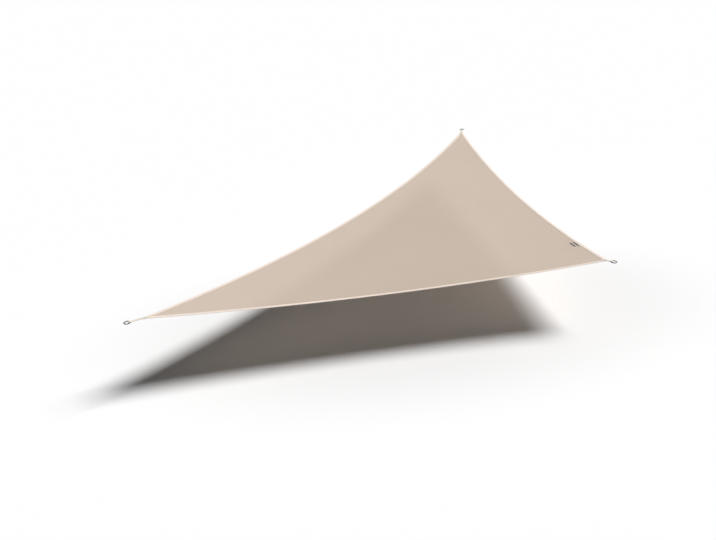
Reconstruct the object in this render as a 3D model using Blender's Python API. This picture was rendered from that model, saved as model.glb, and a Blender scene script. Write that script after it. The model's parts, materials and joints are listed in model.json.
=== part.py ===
"""Shade sail: a right-angled triangle of knitted cloth, stretched level between three rings.

The square corner is at the front right. The short sides run from it to the left corner, along -X,
and to the back corner, along +Y. The origin is the middle of the square corner's ring.
Metres, +Z up.

The cloth is one smooth sheet. Each of its sides is a shallow arc, drawn in and hanging down at its
middle, and `sail_height` gives the height of the sheet at any plan point. The bindings, straps,
rings and label are all laid on that sheet by `on_sail`, so they follow its curve.
"""

import math
from collections import namedtuple

import bmesh
import bpy
from mathutils import Vector

# The sail as a whole.
SHORT_SIDE = 4.0            # each short side, corner to corner, before the tips are cut off
TIP_WIDTH = 0.024           # width of the cloth where each tip is cut square
CLEARANCE = 0.0003          # left between pieces that touch

# A corner's place in plan, how far beyond it the ring's bar is held, and how far the strap laps
# back over the cloth.
Corner = namedtuple("Corner", "x y bar_reach strap_lap")
CORNERS = {
    "left": Corner(x=-SHORT_SIDE, y=0.0, bar_reach=0.084, strap_lap=0.060),
    "square": Corner(x=0.0, y=0.0, bar_reach=0.036, strap_lap=0.042),
    "back": Corner(x=0.0, y=SHORT_SIDE, bar_reach=0.059, strap_lap=0.060),
}

# A side's two corners, how far its middle is drawn in, and how much it lends to the sheet's dip.
# The sides go round the sail anticlockwise, seen from above.
Side = namedtuple("Side", "start end bow dip")
SIDES = {
    "front": Side(start="left", end="square", bow=0.046, dip=0.083),
    "right": Side(start="square", end="back", bow=0.046, dip=0.111),
    "long": Side(start="back", end="left", bow=0.211, dip=0.089),
}

# Cloth.
CLOTH_THICKNESS = 0.0010
STATION_STEP = 0.10         # longest step along a side
TIP_STEPS = 2               # steps along each mitre
HUB = Vector((-1.17, 1.17))                                 # middle of the sheet, in plan
RING_DEPTHS = (0.0, 0.02, 0.04, 0.07, 0.11, 0.18, 0.30, 0.46, 0.64, 0.82)    # share of the way to HUB

# Binding, folded over each side.
BINDING_WIDTH = 0.027
BINDING_THICKNESS = 0.0010

# Strap through each ring. Its two legs hold the cloth's tip between them, close up beyond it and
# part again round the ring's bar.
STRAP_WIDTH = 0.025
STRAP_THICKNESS = 0.0014
STRAP_PAST_TIP = 0.001      # from the cloth's cut tip to where the legs begin to close
STRAP_CLOSING = 0.006       # run over which they close
STRAP_PARTING = 0.014       # from where they part to the middle of the bar
STRAP_LAP_STEPS = 5
STRAP_EYE_STEPS = 12

# D-ring of round wire.
WIRE = 0.008                # diameter
RING_INSIDE = 0.034         # clear width along the bar
RING_CHEEK = 0.020          # straight cheeks, from the bar to the round end
RING_BEND = 0.007           # centre-line radius of the two bends beside the bar
BEND_STEPS = 4
BOW_STEPS = 16
WIRE_SIDES = 12

# Label, sewn on beside the right side's binding.
LABEL_LENGTH = 0.100
LABEL_WIDTH = 0.055
LABEL_THICKNESS = 0.0010
LABEL_FROM_CORNER = 0.483   # label's middle, along the right side from the square corner
LABEL_MARGIN = 0.006        # between the binding and the label
LABEL_STEPS = 4

# Heights above the middle of the sheet's thickness, worked out from the layers between.
BINDING_UNDERSIDE = CLOTH_THICKNESS / 2 + CLEARANCE
BINDING_TOP = BINDING_UNDERSIDE + BINDING_THICKNESS
STRAP_UNDERSIDE = BINDING_TOP + CLEARANCE
EYE_INNER_RADIUS = WIRE / 2 + CLEARANCE
EYE_OUTER_RADIUS = EYE_INNER_RADIUS + STRAP_THICKNESS

# Finishes: linear base colour, roughness, metallic.
Finish = namedtuple("Finish", "color roughness metallic")
FINISHES = {
    "sail_cloth": Finish((0.632, 0.527, 0.437), 0.85, 0.0),
    "edge_webbing": Finish((0.840, 0.725, 0.640), 0.75, 0.0),
    "corner_webbing": Finish((0.760, 0.690, 0.600), 0.75, 0.0),
    "ring_steel": Finish((0.140, 0.140, 0.145), 0.35, 1.0),
    "label_cloth": Finish((0.690, 0.620, 0.540), 0.80, 0.0),
}


# ---------------------------------------------------------------- the sheet that all pieces follow

def corner_point(name):
    return Vector((CORNERS[name].x, CORNERS[name].y))


def side_length(side):
    return (corner_point(side.end) - corner_point(side.start)).length


def inward_of(direction):
    """The way into the sail from a side that runs along `direction`: a quarter turn to its left."""
    return Vector((-direction.y, direction.x))


def side_point(side, share):
    """Plan point on a side's arc, `share` of the way from its start to its end."""
    start = corner_point(side.start)
    along = corner_point(side.end) - start
    inward = inward_of(along).normalized()
    return start + along * share + inward * (4.0 * side.bow * share * (1.0 - share))


def side_direction(side, share):
    along = corner_point(side.end) - corner_point(side.start)
    inward = inward_of(along).normalized()
    return (along + inward * (4.0 * side.bow * (1.0 - 2.0 * share))).normalized()


def corner_wedge(name):
    """The way from a corner into the sail, midway between its sides, and half their angle."""
    leaving = next(side_direction(side, 0.0) for side in SIDES.values() if side.start == name)
    arriving = next(-side_direction(side, 1.0) for side in SIDES.values() if side.end == name)
    return (leaving + arriving).normalized(), leaving.angle(arriving) / 2.0


def corner_shares(plan):
    """A plan point as shares of the three corners: 1 at a corner, and 0 along the side facing it."""
    left = -plan.x / SHORT_SIDE
    back = plan.y / SHORT_SIDE
    return {"left": left, "square": 1.0 - left - back, "back": back}


def beyond_corner(share):
    """Whether a point lies beyond a corner, where the sheet runs on level to the ring."""
    return max(share.values()) > 1.0


def sail_height(plan):
    share = corner_shares(plan)
    if beyond_corner(share):
        return 0.0
    return -4.0 * sum(side.dip * share[side.start] * share[side.end] for side in SIDES.values())


def sail_normal(plan):
    """Upward unit normal of the sheet, from the slope of `sail_height` along X and Y."""
    share = corner_shares(plan)
    if beyond_corner(share):
        return Vector((0.0, 0.0, 1.0))
    growth_x = {"left": -1.0 / SHORT_SIDE, "square": 1.0 / SHORT_SIDE, "back": 0.0}
    growth_y = {"left": 0.0, "square": -1.0 / SHORT_SIDE, "back": 1.0 / SHORT_SIDE}
    slopes = []
    for growth in (growth_x, growth_y):
        slopes.append(-4.0 * sum(
            side.dip * (growth[side.start] * share[side.end] + share[side.start] * growth[side.end])
            for side in SIDES.values()))
    return Vector((-slopes[0], -slopes[1], 1.0)).normalized()


def on_sail(plan, lift=0.0):
    """The point `lift` above the sheet at a plan point, before the origin is moved to its ring."""
    return Vector((plan.x, plan.y, sail_height(plan))) + sail_normal(plan) * lift


# ------------------------------------------------------------------------------- making the meshes

def skin(sections, closed=False):
    """Faces of a tube through sections of equal length, with flat caps unless it closes on itself."""
    count = len(sections[0])
    points = [point for section in sections for point in section]
    faces = []
    spans = len(sections) if closed else len(sections) - 1
    for span in range(spans):
        here = span * count
        there = (span + 1) % len(sections) * count
        for corner in range(count):
            after = (corner + 1) % count
            faces.append((here + corner, here + after, there + after, there + corner))
    if not closed:
        faces.append(tuple(range(count)))
        faces.append(tuple(range(len(points) - count, len(points))))
    return points, faces


def add_piece(name, finish_name, points, faces, home, smooth=False):
    """One closed body, moved so that `home` is the origin, with its faces turned outwards."""
    mesh = bpy.data.meshes.new(name)
    builder = bmesh.new()
    vertices = [builder.verts.new(point - home) for point in points]
    for face in faces:
        builder.faces.new([vertices[index] for index in face])
    bmesh.ops.recalc_face_normals(builder, faces=builder.faces)
    builder.to_mesh(mesh)
    builder.free()
    if smooth:
        mesh.shade_smooth()
    mesh.materials.append(material_for(finish_name))
    piece = bpy.data.objects.new(name, mesh)
    bpy.context.scene.collection.objects.link(piece)
    return piece


def material_for(name):
    material = bpy.data.materials.get(name)
    if material:
        return material
    finish = FINISHES[name]
    material = bpy.data.materials.new(name)
    material.use_nodes = True
    shader = material.node_tree.nodes["Principled BSDF"]
    shader.inputs["Base Color"].default_value = (*finish.color, 1.0)
    shader.inputs["Roughness"].default_value = finish.roughness
    shader.inputs["Metallic"].default_value = finish.metallic
    return material


# ------------------------------------------------------------------------------ cloth and bindings

def cut_distance(name):
    """How far along each side from a corner the square cut across the tip begins."""
    half_angle = corner_wedge(name)[1]
    return TIP_WIDTH / 2.0 / math.sin(half_angle)


def mitre_distance(name):
    """How far along each side the two bindings of a corner still meet on its middle line."""
    half_angle = corner_wedge(name)[1]
    return BINDING_WIDTH / math.tan(half_angle)


def steps_between(low, high, count):
    return [low + (high - low) * index / count for index in range(count)]


def side_stations(side):
    """Shares along a side: close together at the mitres, even between them."""
    length = side_length(side)
    marks = (cut_distance(side.start), mitre_distance(side.start),
             length - mitre_distance(side.end), length - cut_distance(side.end))
    middle_steps = math.ceil((marks[2] - marks[1]) / STATION_STEP)
    distances = (steps_between(marks[0], marks[1], TIP_STEPS)
                 + steps_between(marks[1], marks[2], middle_steps)
                 + steps_between(marks[2], marks[3], TIP_STEPS) + [marks[3]])
    return [distance / length for distance in distances]


def mitre_point(name, distance, leaving):
    """The binding's inner line on a corner's middle line, opposite a point of the side.

    It slides from the cut tip to the mitre's inner end as `distance` along the side grows.
    """
    inward, half_angle = corner_wedge(name)
    cut = cut_distance(name)
    reached = (distance - cut) / (mitre_distance(name) - cut)
    nearest = cut * math.cos(half_angle)
    farthest = mitre_distance(name) / math.cos(half_angle)
    aside = Vector((inward.y, -inward.x)) * (CLEARANCE / 2.0)
    if not leaving:
        aside.negate()
    return corner_point(name) + inward * (nearest + (farthest - nearest) * reached) + aside


def binding_inner_point(side, share):
    length = side_length(side)
    from_start = share * length
    from_end = length - from_start
    if from_start < mitre_distance(side.start):
        return mitre_point(side.start, from_start, leaving=True)
    if from_end < mitre_distance(side.end):
        return mitre_point(side.end, from_end, leaving=False)
    return side_point(side, share) + inward_of(side_direction(side, share)) * BINDING_WIDTH


def add_cloth(home):
    """The one panel: rings of points from the outline in to the hub, on both faces."""
    outline = [side_point(side, share) for side in SIDES.values() for share in side_stations(side)]
    count = len(outline)
    points = []
    for lift in (CLOTH_THICKNESS / 2.0, -CLOTH_THICKNESS / 2.0):
        for depth in RING_DEPTHS:
            points += [on_sail(edge.lerp(HUB, depth), lift) for edge in outline]
        points.append(on_sail(HUB, lift))
    face_size = len(points) // 2
    last_ring = (len(RING_DEPTHS) - 1) * count
    faces = []
    for base in (0, face_size):
        for index in range(count):
            after = (index + 1) % count
            for ring in range(0, last_ring, count):
                faces.append((base + ring + index, base + ring + after,
                              base + ring + count + after, base + ring + count + index))
            faces.append((base + last_ring + index, base + last_ring + after, base + face_size - 1))
    for index in range(count):
        after = (index + 1) % count
        faces.append((index, after, face_size + after, face_size + index))
    add_piece("sail_cloth", "sail_cloth", points, faces, home, smooth=True)


def add_binding(side_name, home):
    """Webbing folded over one side: a leg on each face, joined round the cloth's edge."""
    side = SIDES[side_name]
    sections = []
    for share in side_stations(side):
        edge = side_point(side, share)
        outward = -inward_of(side_direction(side, share))
        inner = binding_inner_point(side, share)
        fold_inside = edge + outward * CLEARANCE
        fold_outside = edge + outward * (CLEARANCE + BINDING_THICKNESS)
        sections.append([
            on_sail(inner, BINDING_TOP),
            on_sail(fold_outside, BINDING_TOP),
            on_sail(fold_outside, -BINDING_TOP),
            on_sail(inner, -BINDING_TOP),
            on_sail(inner, -BINDING_UNDERSIDE),
            on_sail(fold_inside, -BINDING_UNDERSIDE),
            on_sail(fold_inside, BINDING_UNDERSIDE),
            on_sail(inner, BINDING_UNDERSIDE),
        ])
    points, faces = skin(sections)
    add_piece(f"binding_{side_name}", "edge_webbing", points, faces, home)


# -------------------------------------------------------------------------------- straps and rings

def strap_leg(corner_name):
    """Reach outwards and height of the upper leg's inner face, from its lapped end on."""
    corner = CORNERS[corner_name]
    half_angle = corner_wedge(corner_name)[1]
    tip = -cut_distance(corner_name) * math.cos(half_angle)
    closes = tip + STRAP_PAST_TIP
    leg = [(reach, STRAP_UNDERSIDE)
           for reach in steps_between(tip - corner.strap_lap, closes, STRAP_LAP_STEPS)]
    leg.append((closes, STRAP_UNDERSIDE))
    for reach in (closes + STRAP_CLOSING, 0.0, corner.bar_reach - STRAP_PARTING):
        leg.append((reach, CLEARANCE / 2.0))
    return leg


def strap_path(corner_name):
    """Pairs of (reach, height) on the strap's inner and outer face, round the ring's bar."""
    bar_reach = CORNERS[corner_name].bar_reach
    away = Vector((STRAP_PARTING, CLEARANCE / 2.0))
    turn = math.pi - math.atan2(away.y, away.x) - math.acos(EYE_INNER_RADIUS / away.length)
    leg = strap_leg(corner_name)
    path = [((reach, height), (reach, height + STRAP_THICKNESS)) for reach, height in leg]
    for step in range(STRAP_EYE_STEPS + 1):
        angle = turn * (1.0 - 2.0 * step / STRAP_EYE_STEPS)
        path.append(tuple((bar_reach + radius * math.cos(angle), radius * math.sin(angle))
                          for radius in (EYE_INNER_RADIUS, EYE_OUTER_RADIUS)))
    path += [((reach, -height), (reach, -height - STRAP_THICKNESS))
             for reach, height in reversed(leg)]
    return path


def add_strap(corner_name, home):
    """Webbing that laps both faces of the tip and loops round the ring's bar."""
    corner = corner_point(corner_name)
    outward = -corner_wedge(corner_name)[0]
    across = inward_of(outward) * (STRAP_WIDTH / 2.0)
    sections = []
    for (inner_reach, inner_lift), (outer_reach, outer_lift) in strap_path(corner_name):
        inner = corner + outward * inner_reach
        outer = corner + outward * outer_reach
        sections.append([
            on_sail(inner - across, inner_lift),
            on_sail(inner + across, inner_lift),
            on_sail(outer + across, outer_lift),
            on_sail(outer - across, outer_lift),
        ])
    points, faces = skin(sections)
    add_piece(f"strap_{corner_name}", "corner_webbing", points, faces, home)


def arc_points(center, radius, start, end, steps):
    """Points (out, across) on an arc, angles in degrees from the outward axis."""
    points = []
    for step in range(steps + 1):
        angle = math.radians(start + (end - start) * step / steps)
        points.append(Vector((center[0] + radius * math.cos(angle),
                              center[1] + radius * math.sin(angle))))
    return points


def ring_outline():
    """Centre line of the D, with the bar's middle at (0, 0) and the round end outwards."""
    half = (RING_INSIDE + WIRE) / 2.0
    side = half - RING_BEND
    return (arc_points((RING_CHEEK, 0.0), half, -90.0, 90.0, BOW_STEPS)
            + arc_points((RING_BEND, side), RING_BEND, 90.0, 180.0, BEND_STEPS)
            + arc_points((RING_BEND, -side), RING_BEND, 180.0, 270.0, BEND_STEPS))


def ring_frame(corner_name):
    """The bar's middle and the ring's outward, sideways and upward axes."""
    outward = -corner_wedge(corner_name)[0]
    bar_plan = corner_point(corner_name) + outward * CORNERS[corner_name].bar_reach
    up = sail_normal(bar_plan)
    across = up.cross(outward.to_3d()).normalized()
    return on_sail(bar_plan), across.cross(up), across, up


def ring_middle(corner_name):
    """Middle of the ring's open window, between the strap and the round end."""
    bar, out, _, _ = ring_frame(corner_name)
    window_end = RING_CHEEK + RING_INSIDE / 2.0
    return bar + out * ((EYE_OUTER_RADIUS + window_end) / 2.0)


def add_ring(corner_name, home):
    bar, out, across, up = ring_frame(corner_name)
    outline = ring_outline()
    sections = []
    for index, point in enumerate(outline):
        ahead = outline[(index + 1) % len(outline)] - outline[index - 1]
        sideways = Vector((ahead.y, -ahead.x)).normalized()
        center = bar + out * point.x + across * point.y
        radial = out * sideways.x + across * sideways.y
        section = []
        for corner in range(WIRE_SIDES):
            angle = 2.0 * math.pi * (corner + 0.5) / WIRE_SIDES
            section.append(center + (radial * math.cos(angle) + up * math.sin(angle)) * (WIRE / 2.0))
        sections.append(section)
    points, faces = skin(sections, closed=True)
    add_piece(f"ring_{corner_name}", "ring_steel", points, faces, home, smooth=True)


# ------------------------------------------------------------------------------------------- label

def add_label(home):
    """Flat label beside the right side's binding, its long side along the edge."""
    side = SIDES["right"]
    share = LABEL_FROM_CORNER / side_length(side)
    direction = side_direction(side, share)
    inward = inward_of(direction)
    near_edge = side_point(side, share) + inward * (BINDING_WIDTH + LABEL_MARGIN)
    underside = CLOTH_THICKNESS / 2.0 + CLEARANCE
    sections = []
    for step in range(LABEL_STEPS + 1):
        near = near_edge + direction * (LABEL_LENGTH * (step / LABEL_STEPS - 0.5))
        far = near + inward * LABEL_WIDTH
        sections.append([
            on_sail(near, underside),
            on_sail(far, underside),
            on_sail(far, underside + LABEL_THICKNESS),
            on_sail(near, underside + LABEL_THICKNESS),
        ])
    points, faces = skin(sections)
    add_piece("label", "label_cloth", points, faces, home)


def main():
    for leftover in list(bpy.data.objects):
        bpy.data.objects.remove(leftover)
    home = ring_middle("square")
    add_cloth(home)
    for side_name in SIDES:
        add_binding(side_name, home)
    for corner_name in CORNERS:
        add_strap(corner_name, home)
        add_ring(corner_name, home)
    add_label(home)


main()
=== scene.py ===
"""Shade sail: the knitted cloth, webbing, rings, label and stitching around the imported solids.

The file is laid out as a Blender add-on. The frame is loaded first, so that finishes can start from
the record's colours. Every piece lies on the same curved sheet as its solid: the two tables below
and `on_sail` repeat the sizes of the part's source, in metres.
"""

import json
import math
from collections import namedtuple
from functools import partial

import bmesh
import bpy
from mathutils import Matrix, Vector


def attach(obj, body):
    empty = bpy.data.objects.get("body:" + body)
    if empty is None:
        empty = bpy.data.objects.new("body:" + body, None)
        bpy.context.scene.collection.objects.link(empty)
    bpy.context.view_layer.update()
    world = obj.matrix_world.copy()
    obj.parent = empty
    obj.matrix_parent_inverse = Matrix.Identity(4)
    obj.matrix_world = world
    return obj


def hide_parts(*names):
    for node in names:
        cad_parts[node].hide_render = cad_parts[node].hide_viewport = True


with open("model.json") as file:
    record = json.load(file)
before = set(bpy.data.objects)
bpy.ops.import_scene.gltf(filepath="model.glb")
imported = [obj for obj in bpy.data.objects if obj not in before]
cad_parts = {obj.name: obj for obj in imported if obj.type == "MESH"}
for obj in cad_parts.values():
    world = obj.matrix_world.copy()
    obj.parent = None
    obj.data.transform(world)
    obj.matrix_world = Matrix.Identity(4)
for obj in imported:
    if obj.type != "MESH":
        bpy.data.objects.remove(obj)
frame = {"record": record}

bl_info = {
    "name": "Shade Sail",
    "version": (1, 0, 0),
    "blender": (4, 5, 0),
    "location": "View3D > Sidebar > Shade Sail",
    "description": "Builds the looks of a knitted triangular shade sail",
    "category": "Object",
}

BODY = "root"

# The sheet, as in the part's source.
SHORT_SIDE = 4.0
TIP_WIDTH = 0.024
CLEARANCE = 0.0003

Corner = namedtuple("Corner", "x y bar_reach strap_lap")
CORNERS = {
    "left": Corner(x=-SHORT_SIDE, y=0.0, bar_reach=0.084, strap_lap=0.060),
    "square": Corner(x=0.0, y=0.0, bar_reach=0.036, strap_lap=0.042),
    "back": Corner(x=0.0, y=SHORT_SIDE, bar_reach=0.059, strap_lap=0.060),
}

Side = namedtuple("Side", "start end bow dip")
SIDES = {
    "front": Side(start="left", end="square", bow=0.046, dip=0.083),
    "right": Side(start="square", end="back", bow=0.046, dip=0.111),
    "long": Side(start="back", end="left", bow=0.211, dip=0.089),
}

# Thicknesses and widths, as in the part's source.
CLOTH_THICKNESS = 0.0010
BINDING_WIDTH = 0.027
BINDING_THICKNESS = 0.0010
STRAP_WIDTH = 0.025
STRAP_THICKNESS = 0.0014
STRAP_PAST_TIP = 0.001
STRAP_CLOSING = 0.006
STRAP_PARTING = 0.014
WIRE = 0.008
RING_INSIDE = 0.034
RING_CHEEK = 0.020
RING_BEND = 0.007
LABEL_LENGTH = 0.100
LABEL_WIDTH = 0.055
LABEL_THICKNESS = 0.0010
LABEL_FROM_CORNER = 0.483
LABEL_MARGIN = 0.006
BINDING_UNDERSIDE = CLOTH_THICKNESS / 2 + CLEARANCE
BINDING_TOP = BINDING_UNDERSIDE + BINDING_THICKNESS
STRAP_UNDERSIDE = BINDING_TOP + CLEARANCE
STRAP_TOP = STRAP_UNDERSIDE + STRAP_THICKNESS
EYE_INNER_RADIUS = WIRE / 2 + CLEARANCE
EYE_OUTER_RADIUS = EYE_INNER_RADIUS + STRAP_THICKNESS
LABEL_UNDERSIDE = CLOTH_THICKNESS / 2 + CLEARANCE
LABEL_TOP = LABEL_UNDERSIDE + LABEL_THICKNESS

# Fineness of the meshes.
HUB = Vector((-1.17, 1.17))
STATION_STEP = 0.030
CLOTH_RINGS = 40
RING_GRADING = 1.35         # above 1, the rings crowd towards the sides
FOLD_STEPS = 6
STRAP_LAP_STEPS = 10
STRAP_CLOSING_STEPS = 4
STRAP_EYE_STEPS = 24
BOW_STEPS = 48
BEND_STEPS = 10
WIRE_SIDES = 24
LABEL_STEPS = 12
MITRE_STEPS = 2             # fewest steps along a mitre
LINE_STEPS = 8              # along each straight line of stitches
SHARP_ANGLE = 40.0          # degrees between two faces, above which their edge stays sharp

# The view, read from the perspective of the sail and of its shadow.
CAMERA_PLACE = Vector((-3.307, -5.554, 3.082))
CAMERA_HEADING = 10.947     # degrees from +Y towards +X
CAMERA_PITCH = 26.987       # degrees below level
CAMERA_ROLL = -1.823        # degrees
CAMERA_LENS = 39.11         # millimetres
CAMERA_SENSOR = 36.0        # millimetres
CAMERA_REACH = 1000.0
FLOOR_DROP = 0.617          # from the level of the corners down to the floor
FLOOR_SIZE = 400.0
PAINTED_SHADE_MIDDLE = (-1.60, 0.57)    # where the painted shade on the floor is deepest, under the sail
PAINTED_SHADE_FADE = (0.9, 2.6)     # distances from there between which the painted shade fades out to the floor's own colour
PAINTED_SHADE_SPREAD = (1.30, 0.67)     # how far the painted shade reaches along X and Y, as shares of those
SUN_PATH = Vector((-0.817, -0.188, -1.0))


# ----------------------------------------- the sheet that all pieces follow

def corner_point(name):
    return Vector((CORNERS[name].x, CORNERS[name].y))


def inward_of(direction):
    """The way into the sail from a side that runs along `direction`: a quarter turn to its left."""
    return Vector((-direction.y, direction.x))


def side_frame(side):
    """A side's start, the whole way to its end, and the way into the sail."""
    start = corner_point(side.start)
    along = corner_point(side.end) - start
    return start, along, inward_of(along).normalized()


def side_length(side):
    return side_frame(side)[1].length


def side_point(side, share):
    """Plan point on a side's arc, `share` of the way from its start to its end."""
    start, along, inward = side_frame(side)
    return start + along * share + inward * (4.0 * side.bow * share * (1.0 - share))


def side_direction(side, share):
    _, along, inward = side_frame(side)
    return (along + inward * (4.0 * side.bow * (1.0 - 2.0 * share))).normalized()


def corner_wedge(name):
    """The way from a corner into the sail, midway between its sides, and half their angle."""
    leaving = next(side_direction(side, 0.0) for side in SIDES.values() if side.start == name)
    arriving = next(-side_direction(side, 1.0) for side in SIDES.values() if side.end == name)
    return (leaving + arriving).normalized(), leaving.angle(arriving) / 2.0


def corner_shares(plan):
    left = -plan.x / SHORT_SIDE
    back = plan.y / SHORT_SIDE
    return {"left": left, "square": 1.0 - left - back, "back": back}


def beyond_corner(share):
    """Whether a point lies beyond a corner, where the sheet runs on level to the ring."""
    return max(share.values()) > 1.0


def sail_height(plan):
    share = corner_shares(plan)
    if beyond_corner(share):
        return 0.0
    return -4.0 * sum(side.dip * share[side.start] * share[side.end] for side in SIDES.values())


def sail_normal(plan):
    """Upward unit normal of the sheet, from the slope of `sail_height` along X and Y."""
    share = corner_shares(plan)
    if beyond_corner(share):
        return Vector((0.0, 0.0, 1.0))
    growth_x = {"left": -1.0 / SHORT_SIDE, "square": 1.0 / SHORT_SIDE, "back": 0.0}
    growth_y = {"left": 0.0, "square": -1.0 / SHORT_SIDE, "back": 1.0 / SHORT_SIDE}
    slopes = []
    for growth in (growth_x, growth_y):
        slopes.append(-4.0 * sum(
            side.dip * (growth[side.start] * share[side.end] + share[side.start] * growth[side.end])
            for side in SIDES.values()))
    return Vector((-slopes[0], -slopes[1], 1.0)).normalized()


def unshifted(plan, lift=0.0):
    return Vector((plan.x, plan.y, sail_height(plan))) + sail_normal(plan) * lift


def ring_frame(corner_name):
    """The bar's middle and the ring's outward, sideways and upward axes, before the shift."""
    outward = -corner_wedge(corner_name)[0]
    bar_plan = corner_point(corner_name) + outward * CORNERS[corner_name].bar_reach
    up = sail_normal(bar_plan)
    across = up.cross(outward.to_3d()).normalized()
    return unshifted(bar_plan), across.cross(up), across, up


def square_ring_middle():
    bar, out, _, _ = ring_frame("square")
    return bar + out * ((EYE_OUTER_RADIUS + RING_CHEEK + RING_INSIDE / 2.0) / 2.0)


HOME = square_ring_middle()


def on_sail(plan, lift):
    """The point `lift` above the sheet at a plan point, in the part's frame."""
    return unshifted(plan, lift) - HOME


def side_clearance(plan):
    """Plan distance from a point to the nearest side's arc."""
    nearest = SHORT_SIDE
    for side in SIDES.values():
        start, along, inward = side_frame(side)
        offset = plan - start
        share = offset.dot(along) / along.length_squared
        nearest = min(nearest, offset.dot(inward) - 4.0 * side.bow * share * (1.0 - share))
    return nearest


def smooth_step(low, high, value):
    share = min(max((value - low) / (high - low), 0.0), 1.0)
    return share * share * (3.0 - 2.0 * share)


# -------------------------------------------------------- making the meshes

def add_object(name, data):
    """A new object of the scene, at the origin."""
    item = bpy.data.objects.new(name, data)
    bpy.context.scene.collection.objects.link(item)
    return item


def finish_piece(name, points, faces, material, uv_points=None):
    """One mesh piece that rides on the body, with its faces turned outwards."""
    mesh = bpy.data.meshes.new(name)
    builder = bmesh.new()
    vertices = [builder.verts.new(point) for point in points]
    uv_layer = builder.loops.layers.uv.new("Strip") if uv_points else None
    for indices in faces:
        face = builder.faces.new([vertices[index] for index in indices])
        if uv_points:
            for loop, index in zip(face.loops, indices):
                loop[uv_layer].uv = uv_points[index]
    bmesh.ops.recalc_face_normals(builder, faces=builder.faces)
    builder.to_mesh(mesh)
    builder.free()
    mesh.shade_smooth()
    mesh.set_sharp_from_angle(angle=math.radians(SHARP_ANGLE))
    mesh.materials.append(material)
    piece = add_object(name, mesh)
    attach(piece, BODY)
    return piece


def skin(sections, closed=False):
    """Points and faces of a tube through sections of equal length, capped unless it is closed."""
    count = len(sections[0])
    points = [point for section in sections for point in section]
    faces = []
    spans = len(sections) if closed else len(sections) - 1
    for span in range(spans):
        here = span * count
        there = (span + 1) % len(sections) * count
        for corner in range(count):
            after = (corner + 1) % count
            faces.append((here + corner, here + after, there + after, there + corner))
    if not closed:
        faces.append(tuple(range(count)))
        faces.append(tuple(range(len(points) - count, len(points))))
    return points, faces


def running_lengths(points):
    """Distance from the first point to each point, along the line through them."""
    lengths = [0.0]
    for before, after in zip(points, points[1:]):
        lengths.append(lengths[-1] + (after - before).length)
    return lengths


def steps_between(low, high, count):
    """Even steps from `low` on, without `high` itself."""
    return [low + (high - low) * index / count for index in range(count)]


# -------------------------------------------------------------------- nodes

def feed(tree, node, inputs):
    """Links or sets a node's sockets, by name or number."""
    for key, value in inputs.items():
        source = value.socket if isinstance(value, Level) else value
        if isinstance(source, bpy.types.NodeSocket):
            tree.links.new(source, node.inputs[key])
        else:
            node.inputs[key].default_value = source


def add_node(tree, kind, settings=None, inputs=None):
    """A new node: its settings are set first, then its sockets."""
    node = tree.nodes.new(kind)
    for key, value in (settings or {}).items():
        setattr(node, key, value)
    feed(tree, node, inputs or {})
    return node


class Level:
    """A number that varies over a surface: an expression on levels adds its Math nodes."""

    def __init__(self, finish, socket):
        self.finish = finish
        self.socket = socket

    def math(self, operation, *others):
        inputs = dict(enumerate((self, *others)))
        node = self.finish.node("ShaderNodeMath", {"operation": operation}, inputs)
        return Level(self.finish, node.outputs[0])

    def __add__(self, other):
        return self.math("ADD", other)

    __radd__ = __add__

    def __mul__(self, other):
        return self.math("MULTIPLY", other)

    __rmul__ = __mul__

    def __sub__(self, other):
        return self.math("SUBTRACT", other)

    def __rsub__(self, other):
        return self * -1.0 + other

    def __truediv__(self, other):
        return self.math("DIVIDE", other)

    def __pow__(self, other):
        return self.math("POWER", other)

    def __abs__(self):
        return self.math("ABSOLUTE")

    def fraction(self):
        return self.math("FRACT")

    def wave(self):
        """1 at each whole number and 0 halfway between two of them."""
        return (self * math.tau).math("COSINE") * 0.5 + 0.5

    def at_least(self, other):
        return self.math("MAXIMUM", other)

    def rise(self, low, high):
        """0 below `low` and 1 above `high`, with a smooth step between them."""
        settings = {"interpolation_type": "SMOOTHSTEP"}
        node = self.finish.node("ShaderNodeMapRange", settings, {0: self, 1: low, 2: high})
        return Level(self.finish, node.outputs[0])


class Finish:
    """A material, whose nodes all come from the method `node`."""

    def __init__(self, name):
        self.material = bpy.data.materials.new(name)
        self.material.use_nodes = True
        self.tree = self.material.node_tree
        self.shader = self.tree.nodes["Principled BSDF"]

    def node(self, kind, settings=None, inputs=None):
        return add_node(self.tree, kind, settings, inputs)

    def levels_of(self, vector):
        split = self.node("ShaderNodeSeparateXYZ", inputs={0: vector})
        return [Level(self, output) for output in split.outputs]

    def object_point(self):
        return self.node("ShaderNodeTexCoord").outputs["Object"]

    def strip_point(self):
        return self.node("ShaderNodeUVMap", {"uv_map": "Strip"}).outputs[0]

    def noise(self, point, scale, detail, squeeze=(1.0, 1.0, 1.0)):
        scaled = self.node("ShaderNodeMapping", inputs={"Vector": point, "Scale": squeeze})
        inputs = {"Vector": scaled.outputs[0], "Scale": scale, "Detail": detail}
        return Level(self, self.node("ShaderNodeTexNoise", inputs=inputs).outputs[0])

    def mixed(self, factor, low, high):
        """A colour between two colours."""
        node = self.node("ShaderNodeMix", {"data_type": "RGBA"}, {0: factor, 6: low, 7: high})
        return node.outputs[2]

    def tinted(self, factor, color, darkest, lightest):
        """A colour between two shades of one colour."""
        return self.mixed(factor, shaded(color, darkest), shaded(color, lightest))

    def bump(self, height, depth, strength):
        inputs = {"Height": height, "Distance": depth, "Strength": strength}
        return self.node("ShaderNodeBump", inputs=inputs).outputs[0]

    def surface(self, **inputs):
        """Sets the shader's sockets, with underscores for the spaces in their names."""
        named = {key.replace("_", " "): value for key, value in inputs.items()}
        feed(self.tree, self.shader, named)
        return self.material


def shaded(color, share):
    """A plain colour, darker or lighter by `share`, with its alpha."""
    return (color[0] * share, color[1] * share, color[2] * share, 1.0)


# ---------------------------------------------------------------- materials

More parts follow.
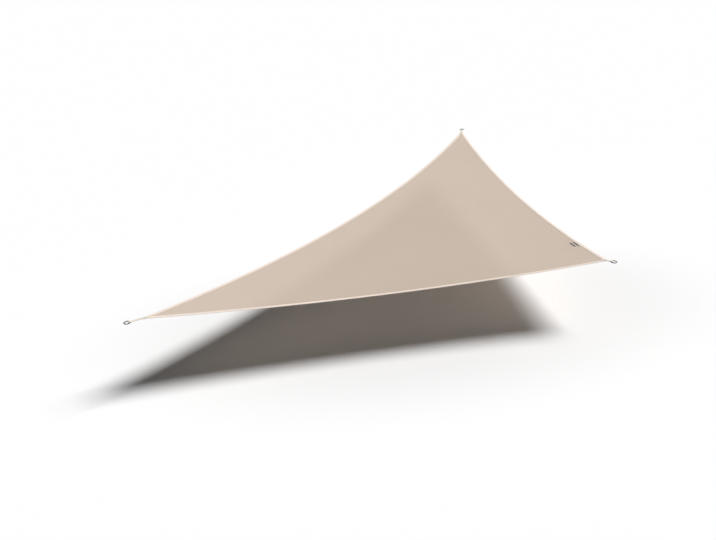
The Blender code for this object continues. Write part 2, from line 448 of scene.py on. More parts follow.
# Heights are shares of a weave's relief, and widths of the knit's tapes are in wales.
LOOP_WAIST = 0.30           # how far a chain falls halfway through each of its loops
TAPE_HEIGHT = 0.7           # against a chain's
TAPE_TOP = 0.16             # half-width of a tape at its top
TAPE_FOOT = 0.34            # and at its foot
KNIT_PAINTED_SHADE = 0.06            # what the knit's painted shade in its hollows, the streaks and the fading each add to the tone
STREAK_TONE = 0.05
FADING_TONE = 0.06
CLOTH_TONES = (0.03, 0.15)  # sums of the three at the darkest and at the lightest shade
HERRINGBONE = 6.0           # width of a zigzag of the webbing's ribs, in rib pitches
HERRINGBONE_SLANT = 3.0     # rib pitches that a rib runs along the strip, there and back
RIB_HEIGHT = 0.75
WEBBING_TONES = (0.15, 0.8)     # means of the ribs' height, as painted shade between them, and of wear, at the darkest and lightest shade
LABEL_PICK = 0.0012         # pitch of the threads across the label
LABEL_END = 0.0009          # pitch of the threads along it
LABEL_PICK_HEIGHT = 0.6
STRIPE_BLUR = 0.04          # half of a stripe's soft edge, as a share of its width


def knitted_cloth(settings):
    """Warp-knitted shade cloth: chains along Y, with tapes that zigzag between them, and painted
    shade in the hollows of the knit.
    """
    finish = Finish("knitted_cloth")
    point = finish.object_point()
    x, y, _ = finish.levels_of(point)
    wale = x / settings.knit_pitch
    course = y / settings.course_pitch
    chain = wale.wave()
    loops = (course * 2.0).wave() * LOOP_WAIST + (1.0 - LOOP_WAIST)
    sway = abs(course.fraction() * 2.0 - 1.0)
    tape = 1.0 - abs(wale.fraction() - sway).rise(TAPE_TOP, TAPE_FOOT)
    height = (chain * chain * loops).at_least(tape * TAPE_HEIGHT)
    streaks = finish.noise(point, scale=1.0, detail=1.0, squeeze=(260.0, 0.8, 1.0))
    fading = finish.noise(point, scale=0.9, detail=3.0)
    # The knit's height darkens the colour between chains and tapes: painted shade. The streaks and
    # the fading are the cloth's own tone.
    painted_shade_and_tone = height * KNIT_PAINTED_SHADE + streaks * STREAK_TONE + fading * FADING_TONE
    return finish.surface(
        Base_Color=finish.tinted(painted_shade_and_tone.rise(*CLOTH_TONES), settings.color,
                                 darkest=0.942, lightest=1.064),
        Roughness=0.92 - height * 0.12,
        Specular_IOR_Level=0.25,
        Alpha=settings.face_cover,
        Normal=finish.bump(height, depth=0.0005, strength=0.35),
    )


def webbing(name, color, rib_pitch):
    """Woven webbing: a herringbone of ribs, read along the strip and across it, with painted shade
    between the ribs.
    """
    finish = Finish(name)
    along, across, _ = finish.levels_of(finish.strip_point())
    slant = abs((across / (rib_pitch * HERRINGBONE)).fraction() - 0.5) * HERRINGBONE_SLANT
    ribs = (along / rib_pitch + slant).wave()
    ends = (across / (rib_pitch * 0.5)).wave()
    height = ribs * RIB_HEIGHT + ends * (1.0 - RIB_HEIGHT)
    wear = finish.noise(finish.object_point(), scale=6.0, detail=3.0)
    # The ribs' height darkens the colour between them: painted shade. The wear is the webbing's own
    # tone.
    painted_shade_and_tone = height * 0.5 + wear * 0.5
    return finish.surface(
        Base_Color=finish.tinted(painted_shade_and_tone.rise(*WEBBING_TONES), color, darkest=0.88, lightest=1.04),
        Roughness=0.85 - height * 0.15,
        Specular_IOR_Level=0.3,
        Normal=finish.bump(height, depth=0.0004, strength=0.5),
    )


def ring_steel(color):
    """Satin stainless wire with faint drawing lines and handling marks."""
    finish = Finish("ring_steel")
    point = finish.object_point()
    grain = finish.noise(point, scale=900.0, detail=2.0)
    smears = finish.noise(point, scale=60.0, detail=4.0)
    return finish.surface(
        Base_Color=finish.tinted(smears, color, darkest=0.85, lightest=1.15),
        Metallic=1.0,
        Roughness=smears * 0.2 + grain * 0.1 + 0.18,
        Normal=finish.bump(grain, depth=0.00005, strength=0.3),
    )


def label_cloth(color, stripe_color, stripes, stripe_width):
    """Fine tape with plain dark stripes woven along it, and painted shade between its threads."""
    finish = Finish("label_cloth")
    along, across, _ = finish.levels_of(finish.strip_point())
    picks = (along / LABEL_PICK).wave()
    ends = (across / LABEL_END).wave()
    height = picks * LABEL_PICK_HEIGHT + ends * (1.0 - LABEL_PICK_HEIGHT)
    mask = None
    for place in stripes:
        stripe = 1.0 - abs(across - place).rise(
            stripe_width * (0.5 - STRIPE_BLUR), stripe_width * (0.5 + STRIPE_BLUR))
        mask = stripe if mask is None else mask.at_least(stripe)
    # The threads' height darkens the ground between them: painted shade.
    ground_with_painted_shade = finish.tinted(height, color, darkest=0.9, lightest=1.05)
    return finish.surface(
        Base_Color=finish.mixed(mask, ground_with_painted_shade, shaded(stripe_color, 1.0)),
        Roughness=0.8 - height * 0.1,
        Specular_IOR_Level=0.3,
        Normal=finish.bump(height, depth=0.0002, strength=0.5),
    )


def sewing_thread(color):
    finish = Finish("sewing_thread")
    twist = finish.noise(finish.object_point(), scale=1500.0, detail=1.0)
    return finish.surface(
        Base_Color=finish.tinted(twist, color, darkest=0.85, lightest=1.1),
        Roughness=0.55,
        Normal=finish.bump(twist, depth=0.0001, strength=0.5),
    )


def studio_floor(color, painted_shade):
    """Matt floor, with painted shade that makes it a little greyer under the sail than away from
    it.
    """
    finish = Finish("studio_floor")
    x, y, _ = finish.levels_of(finish.object_point())
    off_x = (x - PAINTED_SHADE_MIDDLE[0]) / PAINTED_SHADE_SPREAD[0]
    off_y = (y - PAINTED_SHADE_MIDDLE[1]) / PAINTED_SHADE_SPREAD[1]
    away = (off_x * off_x + off_y * off_y) ** 0.5
    return finish.surface(
        Base_Color=finish.tinted(away.rise(*PAINTED_SHADE_FADE), color, darkest=1.0 - painted_shade, lightest=1.0),
        Roughness=1.0,
        Specular_IOR_Level=0.0,
    )


# ----------------------------------------------------------------- settings

# The record's colour of each material slot.
RECORD_COLORS = {row["slot"]: tuple(row["base_color"][:3]) for row in frame["record"]["materials"]}


def color_property(name, description, default):
    return bpy.props.FloatVectorProperty(
        name=name, description=description, default=default, size=3, min=0.0, max=1.0,
        subtype="COLOR")


def length_property(name, description, default):
    return bpy.props.FloatProperty(
        name=name, description=description, default=default, min=0.0, unit="LENGTH", precision=4)


class ClothSettings(bpy.types.PropertyGroup):
    """Sizes and finish of the knitted panel."""

    color: color_property("Color", "Colour of the knitted cloth", RECORD_COLORS["sail_cloth"])
    knit_pitch: length_property("Wale Pitch", "Distance between two chains of the knit", 0.0034)
    course_pitch: length_property("Course Pitch", "Length of one zigzag of the tapes", 0.0052)
    ripple: length_property("Ripple", "Height of the tension ripples near the corners", 0.0010)
    face_cover: bpy.props.FloatProperty(
        name="Face Cover", description="Share of the light that one face of the cloth stops",
        default=0.775, min=0.0, max=1.0, subtype="FACTOR")


class WebbingSettings(bpy.types.PropertyGroup):
    """Finish of the bindings and straps."""

    binding_color: color_property("Binding", "Colour of the edge binding",
                                  RECORD_COLORS["edge_webbing"])
    strap_color: color_property("Strap", "Colour of the corner straps",
                                RECORD_COLORS["corner_webbing"])
    rib_pitch: length_property("Rib Pitch", "Distance between two ribs of the webbing", 0.0022)


class RingSettings(bpy.types.PropertyGroup):
    """Finish of the corner rings."""

    color: color_property("Color", "Colour of the steel", RECORD_COLORS["ring_steel"])


class LabelSettings(bpy.types.PropertyGroup):
    """Finish of the label."""

    color: color_property("Ground", "Colour of the tape", RECORD_COLORS["label_cloth"])
    stripe_color: color_property("Stripes", "Colour of the two stripes", (0.030, 0.022, 0.017))
    stripe_width: length_property("Stripe Width", "Width of each stripe", 0.015)
    outer_stripe: length_property("Outer Stripe", "From the label's outer edge to a stripe", 0.013)
    inner_stripe: length_property("Inner Stripe", "From the label's outer edge to a stripe", 0.044)


class StitchSettings(bpy.types.PropertyGroup):
    """Sizes and colour of the sewing."""

    color: color_property("Thread", "Colour of the sewing thread", (0.74, 0.64, 0.53))
    pitch: length_property("Pitch", "Distance between two stitches", 0.0060)
    length: length_property("Length", "Length of one stitch", 0.0046)
    thickness: length_property("Thickness", "Thickness of the thread", 0.0008)


class StageSettings(bpy.types.PropertyGroup):
    """Floor and light."""

    floor_color: color_property("Floor", "Colour of the floor", (0.905, 0.905, 0.905))
    # Painted shade: the floor's colour is darkened under the sail.
    floor_painted_shade: bpy.props.FloatProperty(
        name="Floor Shade", description="How much greyer the floor is under the sail",
        default=0.15, min=0.0, max=1.0, subtype="FACTOR")
    sun_strength: bpy.props.FloatProperty(
        name="Sun", description="Strength of the key light", default=4.45, min=0.0)
    sun_angle: bpy.props.FloatProperty(
        name="Sun Size", description="Apparent size of the key light, which softens the shadow",
        default=math.radians(22.0), min=0.0, subtype="ANGLE")
    sky_strength: bpy.props.FloatProperty(
        name="Sky", description="Strength of the light from all round", default=0.014, min=0.0)


GROUPS = {
    "sail_cloth_look": ClothSettings,
    "sail_webbing_look": WebbingSettings,
    "sail_ring_look": RingSettings,
    "sail_label_look": LabelSettings,
    "sail_stitch_look": StitchSettings,
    "sail_stage_look": StageSettings,
}


# ------------------------------------------------------------- sail's cloth

def cut_distance(name):
    """How far along each side from a corner the square cut across the tip begins."""
    return TIP_WIDTH / 2.0 / math.sin(corner_wedge(name)[1])


def mitre_distance(name):
    """How far along each side the two bindings of a corner still meet on its middle line."""
    return BINDING_WIDTH / math.tan(corner_wedge(name)[1])


def side_stations(side):
    """Shares along a side, close together all the way, with one at each end of each mitre."""
    length = side_length(side)
    marks = (cut_distance(side.start), mitre_distance(side.start),
             length - mitre_distance(side.end), length - cut_distance(side.end))
    distances = []
    for low, high in zip(marks, marks[1:]):
        steps = max(MITRE_STEPS, math.ceil((high - low) / STATION_STEP))
        distances += steps_between(low, high, steps)
    return [distance / length for distance in distances + [marks[3]]]


# Creases that fan out of each corner: how many there are, with the hollows between them, how far
# they reach and how strong they are.
Fan = namedtuple("Fan", "corner creases reach strength")
FANS = (
    Fan(corner="left", creases=5.0, reach=0.75, strength=1.0),
    Fan(corner="square", creases=7.0, reach=0.45, strength=0.8),
    Fan(corner="back", creases=5.0, reach=0.70, strength=0.9),
)
RIPPLE_START = (0.02, 0.16)     # beyond the binding, where the ripples begin and are at their full
CREASE_SWAY = 0.6               # how far a crease wanders to its sides, in radians of its wave
CREASE_SWAY_RATE = 5.0          # radians for each metre that it runs


def ripple_at(plan, height):
    """Height of the tension ripples at a plan point; none beside the binding and label."""
    free = smooth_step(*RIPPLE_START, side_clearance(plan) - BINDING_WIDTH)
    if free == 0.0:
        return 0.0
    total = 0.0
    for fan in FANS:
        inward, half_angle = corner_wedge(fan.corner)
        offset = plan - corner_point(fan.corner)
        distance = offset.length
        turn = math.atan2(inward.cross(offset), inward.dot(offset)) / half_angle
        sway = CREASE_SWAY * math.sin(distance * CREASE_SWAY_RATE)
        crease = math.cos(turn * fan.creases * math.pi / 2.0 + sway)
        total += fan.strength * crease * math.exp(-distance / fan.reach)
    return height * free * total


def build_cloth(settings):
    outline = [side_point(side, share) for side in SIDES.values() for share in side_stations(side)]
    count = len(outline)
    depths = [(ring / CLOTH_RINGS) ** RING_GRADING for ring in range(CLOTH_RINGS)]
    plans = [edge.lerp(HUB, depth) for depth in depths for edge in outline] + [HUB.copy()]
    ripples = [ripple_at(plan, settings.ripple) for plan in plans]
    points = []
    for face_lift in (CLOTH_THICKNESS / 2.0, -CLOTH_THICKNESS / 2.0):
        points += [on_sail(plan, face_lift + ripple) for plan, ripple in zip(plans, ripples)]
    face_size = len(plans)
    last_ring = (CLOTH_RINGS - 1) * count
    faces = []
    for base in (0, face_size):
        for index in range(count):
            after = (index + 1) % count
            for ring in range(0, last_ring, count):
                faces.append((base + ring + index, base + ring + after,
                              base + ring + count + after, base + ring + count + index))
            faces.append((base + last_ring + index, base + last_ring + after, base + face_size - 1))
    for index in range(count):
        after = (index + 1) % count
        faces.append((index, after, face_size + after, face_size + index))
    cloth = finish_piece("knitted_sail", points, faces, knitted_cloth(settings))
    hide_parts("sail_cloth")


# ----------------------------------------------------------------- bindings

def mitre_point(name, distance, leaving):
    """The binding's inner line on a corner's middle line, opposite a point of the side."""
    inward, half_angle = corner_wedge(name)
    cut = cut_distance(name)
    reached = (distance - cut) / (mitre_distance(name) - cut)
    nearest = cut * math.cos(half_angle)
    farthest = mitre_distance(name) / math.cos(half_angle)
    aside = Vector((inward.y, -inward.x)) * (CLEARANCE / 2.0)
    if not leaving:
        aside.negate()
    return corner_point(name) + inward * (nearest + (farthest - nearest) * reached) + aside


def binding_inner_point(side, share):
    length = side_length(side)
    from_start = share * length
    from_end = length - from_start
    if from_start < mitre_distance(side.start):
        return mitre_point(side.start, from_start, leaving=True)
    if from_end < mitre_distance(side.end):
        return mitre_point(side.end, from_end, leaving=False)
    return side_point(side, share) + inward_of(side_direction(side, share)) * BINDING_WIDTH


def fold_arc(reach, height):
    """Half an ellipse round the sail's side: (outward, height), from `height` to its opposite."""
    turns = [math.radians(90.0 - 180.0 * step / FOLD_STEPS) for step in range(FOLD_STEPS + 1)]
    return [(reach * math.cos(turn), height * math.sin(turn)) for turn in turns]


def build_binding(side_name, material):
    """Webbing folded over one side, with a round fold and its own strip coordinates."""
    side = SIDES[side_name]
    stations = side_stations(side)
    along = running_lengths([side_point(side, share) for share in stations])
    outer_face = fold_arc(CLEARANCE + BINDING_THICKNESS, BINDING_TOP)
    inner_face = fold_arc(CLEARANCE, -BINDING_UNDERSIDE)
    sections = []
    uv_points = []
    for share, reach in zip(stations, along):
        edge = side_point(side, share)
        outward = -inward_of(side_direction(side, share))
        inner = binding_inner_point(side, share)
        width = (inner - edge).length
        section = []
        for arc in (outer_face, inner_face):
            section.append(on_sail(inner, arc[0][1]))
            section += [on_sail(edge + outward * out, lift) for out, lift in arc]
            section.append(on_sail(inner, arc[-1][1]))
            uv_points += [(reach, across) for across in (width, *(-out for out, _ in arc), width)]
        sections.append(section)
    points, faces = skin(sections)
    binding = finish_piece(f"webbing_binding_{side_name}", points, faces, material,
                           uv_points=uv_points)
    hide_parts(f"binding_{side_name}")


# ------------------------------------------------------------------- straps

def patch_point(patch, along, across, lift):
    """A point of a strap or label, from its frame: where it starts and its two ways in plan."""
    start, forward, sideways = patch
    return on_sail(start + forward * along + sideways * across, lift)


def strap_frame(corner_name):
    """A corner in plan, and the ways outwards from it and to the left of that."""
    outward = -corner_wedge(corner_name)[0]
    return corner_point(corner_name), outward, inward_of(outward)


def strap_marks(corner_name):
    """Reach of the strap's lapped end and of the cloth's cut tip, outwards from the corner."""
    half_angle = corner_wedge(corner_name)[1]
    tip = -cut_distance(corner_name) * math.cos(half_angle)
    return tip - CORNERS[corner_name].strap_lap, tip


def strap_leg(corner_name):
    """Reach outwards and height of the upper leg's inner face, from its lapped end on."""
    lap_end, tip = strap_marks(corner_name)
    closes = tip + STRAP_PAST_TIP
    leg = [(reach, STRAP_UNDERSIDE) for reach in steps_between(lap_end, closes, STRAP_LAP_STEPS)]
    for share in steps_between(0.0, 1.0, STRAP_CLOSING_STEPS):
        drop = (STRAP_UNDERSIDE - CLEARANCE / 2.0) * smooth_step(0.0, 1.0, share)
        leg.append((closes + STRAP_CLOSING * share, STRAP_UNDERSIDE - drop))
    for reach in (closes + STRAP_CLOSING, 0.0, CORNERS[corner_name].bar_reach - STRAP_PARTING):
        leg.append((reach, CLEARANCE / 2.0))
    return leg


def strap_path(corner_name):
    """Pairs of (reach, height) on the strap's inner and outer face, round the ring's bar."""
    bar_reach = CORNERS[corner_name].bar_reach
    away = Vector((STRAP_PARTING, CLEARANCE / 2.0))
    turn = math.pi - math.atan2(away.y, away.x) - math.acos(EYE_INNER_RADIUS / away.length)
    leg = strap_leg(corner_name)
    path = [((reach, height), (reach, height + STRAP_THICKNESS)) for reach, height in leg]
    for step in range(STRAP_EYE_STEPS + 1):
        angle = turn * (1.0 - 2.0 * step / STRAP_EYE_STEPS)
        path.append(tuple((bar_reach + radius * math.cos(angle), radius * math.sin(angle))
                          for radius in (EYE_INNER_RADIUS, EYE_OUTER_RADIUS)))
    path += [((reach, -height), (reach, -height - STRAP_THICKNESS))
             for reach, height in reversed(leg)]
    return path


# Round edge of the strap: share of the thickness, and how far the face stands back from the side.
SELVEDGE = ((0.0, 0.0006), (0.25, 0.0), (0.75, 0.0), (1.0, 0.0006))


def build_strap(corner_name, material):
    patch = strap_frame(corner_name)
    sections = []
    uv_points = []
    path = strap_path(corner_name)
    outer_line = [Vector(outer) for _, outer in path]
    for (inner, outer), reach in zip(path, running_lengths(outer_line)):
        section = []
        for sign, rounding in ((-1.0, SELVEDGE), (1.0, reversed(SELVEDGE))):
            for share, back in rounding:
                out = inner[0] + (outer[0] - inner[0]) * share
                lift = inner[1] + (outer[1] - inner[1]) * share
                across = sign * (STRAP_WIDTH / 2.0 - back)
                section.append(patch_point(patch, out, across, lift))
                uv_points.append((reach, across))
        sections.append(section)
    points, faces = skin(sections)
    strap = finish_piece(f"webbing_strap_{corner_name}", points, faces, material,
                         uv_points=uv_points)
    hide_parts(f"strap_{corner_name}")


# -------------------------------------------------------------------- rings

def arc_points(center, radius, start, end, steps):
    """Points (out, across) on an arc, angles in degrees from the outward axis."""
    points = []
    for step in range(steps + 1):
        angle = math.radians(start + (end - start) * step / steps)
        points.append(Vector((center[0] + radius * math.cos(angle),
                              center[1] + radius * math.sin(angle))))
    return points


def ring_outline():
    """Centre line of the D, with the bar's middle at (0, 0) and the round end outwards."""
    half = (RING_INSIDE + WIRE) / 2.0
    side = half - RING_BEND
    return (arc_points((RING_CHEEK, 0.0), half, -90.0, 90.0, BOW_STEPS)
            + arc_points((RING_BEND, side), RING_BEND, 90.0, 180.0, BEND_STEPS)
            + arc_points((RING_BEND, -side), RING_BEND, 180.0, 270.0, BEND_STEPS))


def build_ring(corner_name, material):
    bar, out, across, up = ring_frame(corner_name)
    outline = ring_outline()
    sections = []
    for index, point in enumerate(outline):
        ahead = outline[(index + 1) % len(outline)] - outline[index - 1]
        sideways = Vector((ahead.y, -ahead.x)).normalized()
        center = bar - HOME + out * point.x + across * point.y
        radial = out * sideways.x + across * sideways.y
        section = []
        for corner in range(WIRE_SIDES):
            angle = math.tau * corner / WIRE_SIDES
            spoke = radial * math.cos(angle) + up * math.sin(angle)
            section.append(center + spoke * (WIRE / 2.0))
        sections.append(section)
    points, faces = skin(sections, closed=True)
    ring = finish_piece(f"steel_ring_{corner_name}", points, faces, material)
    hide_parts(f"ring_{corner_name}")


# -------------------------------------------------------------------- label

def label_frame():
    """Middle of the label's outer edge in plan, and the ways along it and into the sail."""
    side = SIDES["right"]
    share = LABEL_FROM_CORNER / side_length(side)
    direction = side_direction(side, share)
    inward = inward_of(direction)
    return side_point(side, share) + inward * (BINDING_WIDTH + LABEL_MARGIN), direction, inward


def build_label(material):
    patch = label_frame()
    profile = ((0.0, LABEL_UNDERSIDE), (LABEL_WIDTH, LABEL_UNDERSIDE),
               (LABEL_WIDTH, LABEL_TOP), (0.0, LABEL_TOP))
    sections = []
    uv_points = []
    for step in range(LABEL_STEPS + 1):
        along = LABEL_LENGTH * (step / LABEL_STEPS - 0.5)
        sections.append([patch_point(patch, along, across, lift) for across, lift in profile])
        uv_points += [(along, across) for across, _ in profile]
    points, faces = skin(sections)
    label = finish_piece("woven_label", points, faces, material,
                         uv_points=uv_points)
    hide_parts("label")


# ---------------------------------------------------------------- stitching

THREAD_LIFT = 0.1           # from the sewn face to the thread's middle, in its thicknesses
BINDING_ROWS = (0.006, BINDING_WIDTH - 0.004)   # the two rows' distances from the sail's side
BINDING_ROW_END = 0.02      # from the end of a mitre to the end of a row
STRAP_ROW_END = 0.005       # from the strap's lapped end to the box
STRAP_ROW_TIP = 0.004       # from the cloth's cut tip to the box
STRAP_ROW_SIDE = 0.005      # from the strap's sides to the box
LABEL_ROW_SIDE = 0.003      # from the label's sides to its row


def stitch_tree():
    """Geometry nodes that lay thread stitches along every line of a mesh."""
    tree = bpy.data.node_groups.new("Stitch rows", "GeometryNodeTree")
    sockets = (
        ("Geometry", "INPUT", "NodeSocketGeometry"),
        ("Pitch", "INPUT", "NodeSocketFloat"),
        ("Length", "INPUT", "NodeSocketFloat"),
        ("Thickness", "INPUT", "NodeSocketFloat"),
        ("Thread", "INPUT", "NodeSocketMaterial"),
        ("Geometry", "OUTPUT", "NodeSocketGeometry"),
    )
    for name, direction, kind in sockets:
        tree.interface.new_socket(name=name, in_out=direction, socket_type=kind)

    add = partial(add_node, tree)
    sizes = add("NodeGroupInput").outputs
    curves = add("GeometryNodeMeshToCurve", inputs={"Mesh": sizes["Geometry"]})
    rows = add("GeometryNodeResampleCurve", {"mode": "LENGTH"},
               {"Curve": curves.outputs["Curve"], "Length": sizes["Pitch"]})
    tangent = add("GeometryNodeInputTangent").outputs["Tangent"]
    heading = add("FunctionNodeAlignRotationToVector", {"axis": "X", "pivot_axis": "Z"},
                  {"Vector": tangent})
    tilt = add("FunctionNodeAlignRotationToVector", {"axis": "X", "pivot_axis": "Y"},
               {"Rotation": heading.outputs["Rotation"], "Vector": tangent})
    bead = add("GeometryNodeMeshIcoSphere", inputs={"Radius": 0.5, "Subdivisions": 1})
    scale = add("ShaderNodeCombineXYZ",
                inputs={"X": sizes["Length"], "Y": sizes["Thickness"], "Z": sizes["Thickness"]})
    placed = add("GeometryNodeInstanceOnPoints", inputs={
        "Points": rows.outputs["Curve"],
        "Instance": bead.outputs["Mesh"],
        "Rotation": tilt.outputs["Rotation"],
        "Scale": scale.outputs["Vector"],
    })
    real = add("GeometryNodeRealizeInstances", inputs={"Geometry": placed.outputs["Instances"]})
    smooth = add("GeometryNodeSetShadeSmooth", inputs={"Geometry": real.outputs["Geometry"]})
    painted = add("GeometryNodeSetMaterial", inputs={
        "Geometry": smooth.outputs["Geometry"],
        "Material": sizes["Thread"],
    })
    add("NodeGroupOutput", inputs={"Geometry": painted.outputs["Geometry"]})
    return tree


def sew(name, lines, tree, settings, thread, slot):
    """One piece of stitching along the given lines of points."""
    mesh = bpy.data.meshes.new(name)
    points = []
    edges = []
    for line in lines:
        first = len(points)
        points += line
        edges += [(index, index + 1) for index in range(first, first + len(line) - 1)]
    mesh.from_pydata(points, edges, [])
    piece = add_object(name, mesh)
    modifier = piece.modifiers.new("Stitches", "NODES")
    modifier.node_group = tree
    values = {"Pitch": settings.pitch, "Length": settings.length,
              "Thickness": settings.thickness, "Thread": thread}
    for item in tree.interface.items_tree:
        if item.in_out == "INPUT" and item.name in values:
            modifier[item.identifier] = values[item.name]
    evaluated = piece.evaluated_get(bpy.context.evaluated_depsgraph_get())
    sewn = bpy.data.meshes.new_from_object(evaluated)
    piece.modifiers.remove(modifier)
    piece.data = sewn
    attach(piece, BODY)
    return piece


def binding_rows(side, lift):
    """Two rows of stitches on each face of a binding, clear of the straps at its ends."""
    length = side_length(side)
    low = mitre_distance(side.start) + BINDING_ROW_END
    high = length - mitre_distance(side.end) - BINDING_ROW_END
    steps = math.ceil((high - low) / STATION_STEP)
    rows = []
    for inset in BINDING_ROWS:
        for face in (1.0, -1.0):
            row = []
            for step in range(steps + 1):
                share = (low + (high - low) * step / steps) / length
                inward = inward_of(side_direction(side, share))
                plan = side_point(side, share) + inward * inset
                row.append(on_sail(plan, face * (BINDING_TOP + lift)))
            rows.append(row)
    return rows


def straight_line(patch, start, end, lift):
    """Points from one place on a strap or label to another."""
    return [patch_point(patch, start[0] + (end[0] - start[0]) * step / LINE_STEPS,
                        start[1] + (end[1] - start[1]) * step / LINE_STEPS, lift)
            for step in range(LINE_STEPS + 1)]


def strap_rows(corner_name, lift):
    """A box with a cross in it, on both faces of the lap."""
    lap_end, tip = strap_marks(corner_name)
    low = lap_end + STRAP_ROW_END
    high = tip - STRAP_ROW_TIP
    half = STRAP_WIDTH / 2.0 - STRAP_ROW_SIDE
    box = ((low, -half), (low, half), (high, half), (high, -half))
    strokes = [*zip(box, box[1:] + box[:1]), (box[0], box[2]), (box[1], box[3])]
    patch = strap_frame(corner_name)
    return [straight_line(patch, start, end, face * (STRAP_TOP + lift))
            for face in (1.0, -1.0) for start, end in strokes]


def label_rows(lift):
    """One row all round the label."""
    half = LABEL_LENGTH / 2.0 - LABEL_ROW_SIDE
    near = LABEL_ROW_SIDE
    far = LABEL_WIDTH - LABEL_ROW_SIDE
    box = ((-half, near), (half, near), (half, far), (-half, far))
    patch = label_frame()
    return [straight_line(patch, start, end, LABEL_TOP + lift)
            for start, end in zip(box, box[1:] + box[:1])]


# ---------------------------------------------------------------- operators

class SHADE_SAIL_OT_cloth(bpy.types.Operator):
    """Makes the knitted panel with its faint tension ripples."""

    bl_idname = "shade_sail.cloth"
    bl_label = "Sail Cloth"

    def execute(self, context):
        build_cloth(context.scene.sail_cloth_look)
        return {"FINISHED"}


class SHADE_SAIL_OT_bindings(bpy.types.Operator):
    """Makes the webbing that is folded over the three sides."""

    bl_idname = "shade_sail.bindings"
    bl_label = "Edge Bindings"

    def execute(self, context):
        look = context.scene.sail_webbing_look
        material = webbing("edge_webbing", look.binding_color, look.rib_pitch)
        for side_name in SIDES:
            build_binding(side_name, material)
        return {"FINISHED"}


class SHADE_SAIL_OT_straps(bpy.types.Operator):
    """Makes the strap that holds each ring."""

    bl_idname = "shade_sail.straps"
    bl_label = "Corner Straps"

    def execute(self, context):
        look = context.scene.sail_webbing_look
        material = webbing("corner_webbing", look.strap_color, look.rib_pitch)
        for corner_name in CORNERS:
            build_strap(corner_name, material)
        return {"FINISHED"}


class SHADE_SAIL_OT_rings(bpy.types.Operator):
    """Makes the three rings of round wire."""

    bl_idname = "shade_sail.rings"
    bl_label = "Corner Rings"

    def execute(self, context):
        material = ring_steel(context.scene.sail_ring_look.color)
        for corner_name in CORNERS:
            build_ring(corner_name, material)
        return {"FINISHED"}


class SHADE_SAIL_OT_label(bpy.types.Operator):
    """Makes the label beside the right side's binding."""

    bl_idname = "shade_sail.label"
    bl_label = "Label"

    def execute(self, context):
        look = context.scene.sail_label_look
        stripes = (look.outer_stripe, look.inner_stripe)
        build_label(label_cloth(look.color, look.stripe_color, stripes, look.stripe_width))
        return {"FINISHED"}


class SHADE_SAIL_OT_stitching(bpy.types.Operator):
    bl_idname = "shade_sail.stitching"
    bl_label = "Stitching"

    def execute(self, context):
        look = context.scene.sail_stitch_look
        tree = stitch_tree()
        thread = sewing_thread(look.color)
        lift = look.thickness * THREAD_LIFT
        rows = [(name, binding_rows(side, lift), "edge_webbing") for name, side in SIDES.items()]
        rows += [(f"{name}_strap", strap_rows(name, lift), "corner_webbing") for name in CORNERS]
        rows.append(("label", label_rows(lift), "label_cloth"))
        sewn = [sew(f"stitches_{name}", lines, tree, look, thread, slot)
                for name, lines, slot in rows]
        names = [f"webbing_binding_{name}" for name in SIDES]
        names += [f"webbing_strap_{name}" for name in CORNERS]
        names += [f"steel_ring_{name}" for name in CORNERS]
        return {"FINISHED"}


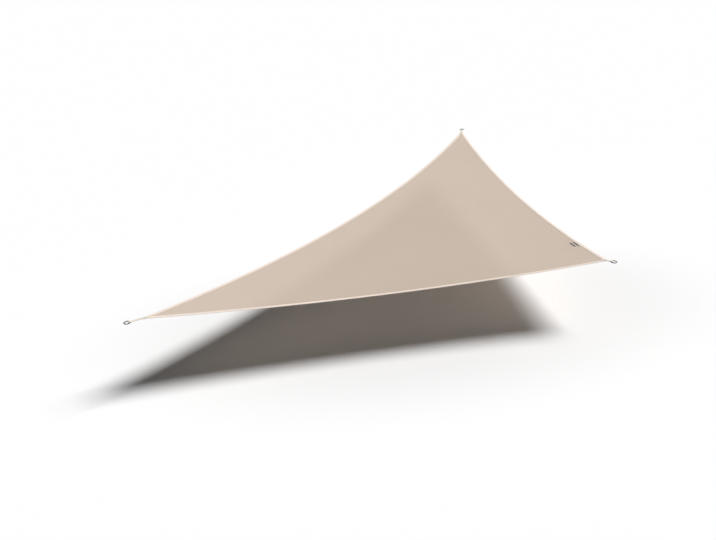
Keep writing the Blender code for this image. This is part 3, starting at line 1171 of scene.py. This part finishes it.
class SHADE_SAIL_OT_stage(bpy.types.Operator):
    """Adds the pale floor, the soft key light, the sky and the camera."""

    bl_idname = "shade_sail.stage"
    bl_label = "Stage"

    def execute(self, context):
        look = context.scene.sail_stage_look
        self.add_floor(look)
        self.add_sun(look)
        self.add_sky(context.scene, look)
        self.add_camera(context.scene)
        context.scene.view_settings.view_transform = "Standard"
        return {"FINISHED"}

    def add_floor(self, look):
        half = FLOOR_SIZE / 2.0
        level = -FLOOR_DROP - HOME.z
        mesh = bpy.data.meshes.new("floor")
        corners = [(-half, -half, level), (half, -half, level), (half, half, level),
                   (-half, half, level)]
        mesh.from_pydata(corners, [], [(0, 1, 2, 3)])
        mesh.materials.append(studio_floor(look.floor_color, look.floor_painted_shade))
        add_object("floor", mesh)

    def add_sun(self, look):
        light = bpy.data.lights.new("key_light", "SUN")
        light.energy = look.sun_strength
        light.angle = look.sun_angle
        lamp = add_object("key_light", light)
        lamp.rotation_euler = SUN_PATH.to_track_quat("-Z", "Y").to_euler()

    def add_sky(self, scene, look):
        """A dim sky for the light, which looks white where the camera sees it."""
        world = bpy.data.worlds.new("sky")
        world.use_nodes = True
        tree = world.node_tree
        path = add_node(tree, "ShaderNodeLightPath")
        strength = add_node(tree, "ShaderNodeMapRange", inputs={
            "Value": path.outputs["Is Camera Ray"],
            "To Min": look.sky_strength,
            "To Max": 1.0,
        })
        feed(tree, tree.nodes["Background"], {
            "Color": (1.0, 1.0, 1.0, 1.0),
            "Strength": strength.outputs["Result"],
        })
        scene.world = world

    def add_camera(self, scene):
        camera = bpy.data.cameras.new("camera")
        camera.lens = CAMERA_LENS
        camera.sensor_width = CAMERA_SENSOR
        camera.clip_end = CAMERA_REACH
        eye = add_object("camera", camera)
        eye.location = CAMERA_PLACE - HOME
        turn = Matrix.Rotation(-math.radians(CAMERA_HEADING), 3, "Z")
        tilt = Matrix.Rotation(math.radians(90.0 - CAMERA_PITCH), 3, "X")
        roll = Matrix.Rotation(math.radians(CAMERA_ROLL), 3, "Z")
        eye.rotation_euler = (turn @ tilt @ roll).to_euler()
        scene.camera = eye


class SHADE_SAIL_PT_panel(bpy.types.Panel):
    """Lists the sail's settings and the operators that build it."""

    bl_idname = "SHADE_SAIL_PT_panel"
    bl_label = "Shade Sail"
    bl_space_type = "VIEW_3D"
    bl_region_type = "UI"
    bl_category = "Shade Sail"

    def draw(self, context):
        for group_name, group in GROUPS.items():
            box = self.layout.box()
            for name in group.__annotations__:
                box.prop(getattr(context.scene, group_name), name)
        for operator in OPERATORS:
            self.layout.operator(operator.bl_idname)


# In the order in which they run.
OPERATORS = (
    SHADE_SAIL_OT_stage,
    SHADE_SAIL_OT_cloth,
    SHADE_SAIL_OT_bindings,
    SHADE_SAIL_OT_straps,
    SHADE_SAIL_OT_rings,
    SHADE_SAIL_OT_label,
    SHADE_SAIL_OT_stitching,
)
CLASSES = (*GROUPS.values(), *OPERATORS, SHADE_SAIL_PT_panel)


def register():
    for item in CLASSES:
        bpy.utils.register_class(item)
    for name, group in GROUPS.items():
        setattr(bpy.types.Scene, name, bpy.props.PointerProperty(type=group))


def unregister():
    for name in GROUPS:
        delattr(bpy.types.Scene, name)
    for item in reversed(CLASSES):
        bpy.utils.unregister_class(item)


def main():
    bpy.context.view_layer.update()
    register()
    bpy.ops.shade_sail.stage()
    bpy.ops.shade_sail.cloth()
    bpy.ops.shade_sail.bindings()
    bpy.ops.shade_sail.straps()
    bpy.ops.shade_sail.rings()
    bpy.ops.shade_sail.label()
    bpy.ops.shade_sail.stitching()


if __name__ == "__main__":
    main()
